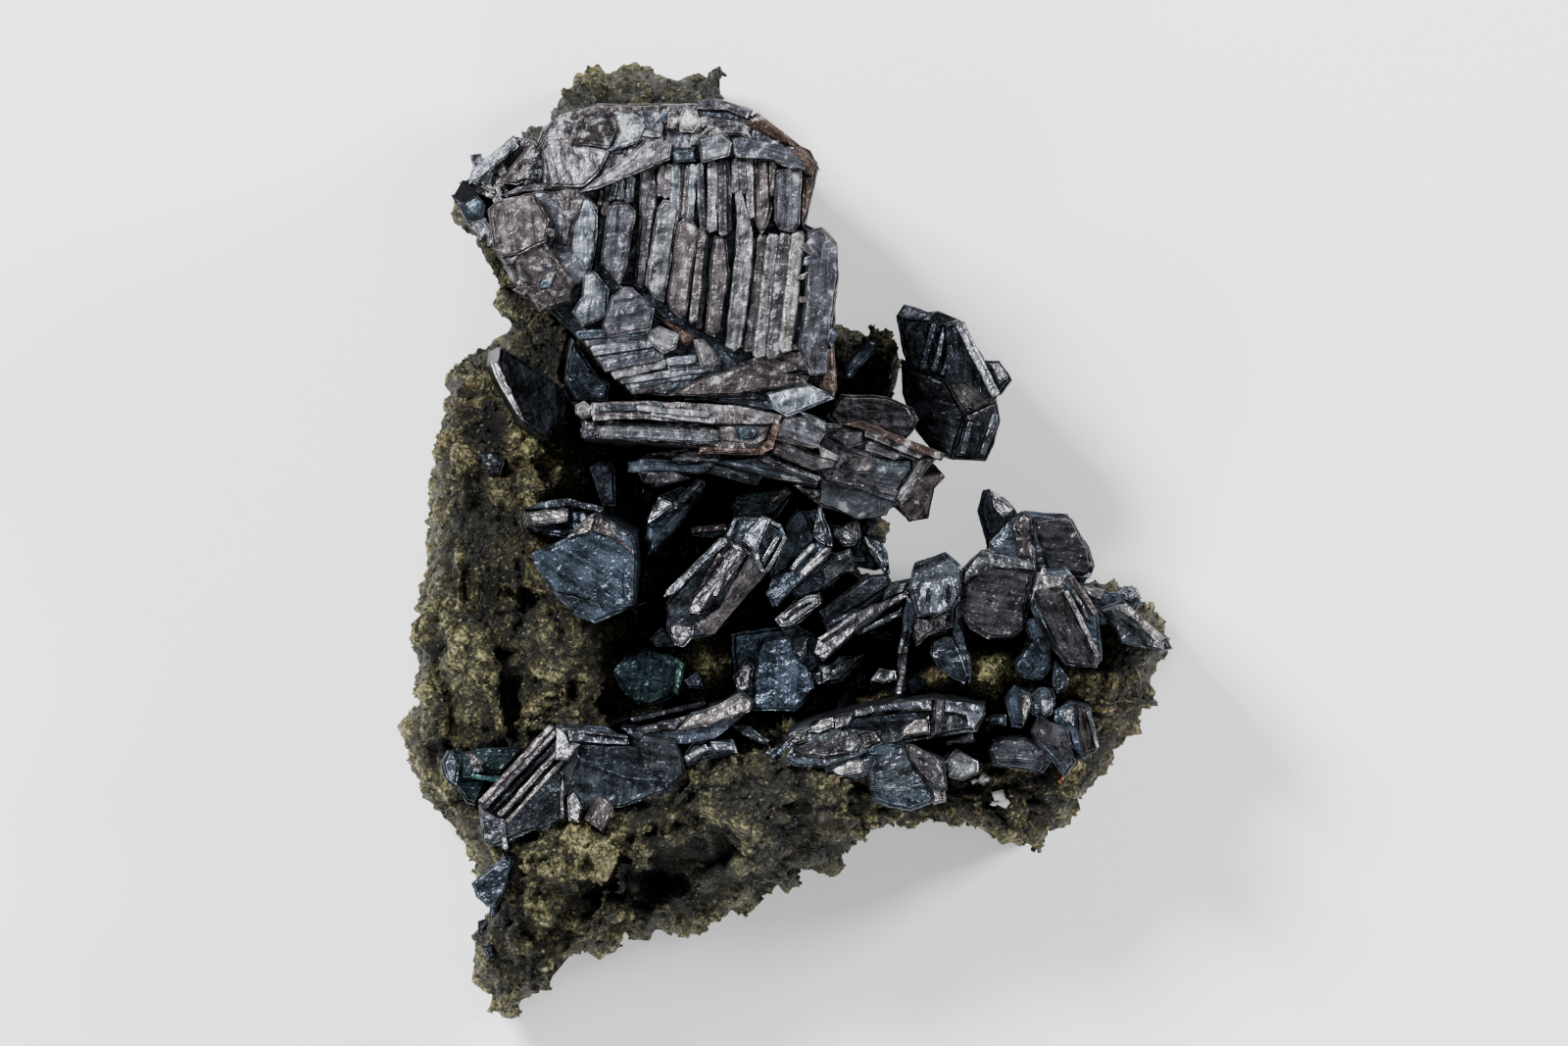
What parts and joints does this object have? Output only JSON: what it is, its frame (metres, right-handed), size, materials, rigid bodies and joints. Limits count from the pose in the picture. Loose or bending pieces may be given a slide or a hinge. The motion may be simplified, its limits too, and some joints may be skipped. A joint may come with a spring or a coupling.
{
  "type": "djurleite-chalcocite mineral specimen",
  "caption": "Dark metallic tabular crystals, stacked and striated, grown over a hollow in a rough piece of olive-brown rock that lies on its broken flat back.",
  "frame": {"origin": "middle of the bounding box in plan, at the flat back of the rock", "axes": "+Z out of the rock towards the side that carries the crystals, +Y up the specimen from the foot to the large crown crystal, +X to the right as it is looked at"},
  "size_m": [0.049, 0.0596, 0.0232],
  "materials": {
    "rock": "rough, grainy",
    "crystal": "metallic, dull to satin, striated"
  },
  "bodies": {
    "root": {"matrix": "rock", "crown_crystals": "crystal", "upper_right_crystal": "crystal", "upper_right_prism": "crystal", "left_blade_crystal": "crystal", "left_kite_crystal": "crystal", "left_plate_crystal": "crystal", "stub_crystal": "crystal", "upper_centre_crystal": "crystal", "centre_crystals": "crystal", "lower_centre_crystals": "crystal", "right_lobe_crystals": "crystal", "rim_crystals": "crystal", "arch_crystals": "crystal", "book_crystals": "crystal", "teal_crystal": "crystal", "corner_crystals": "crystal", "foot_crystal": "crystal"}
  },
  "joints": []
}
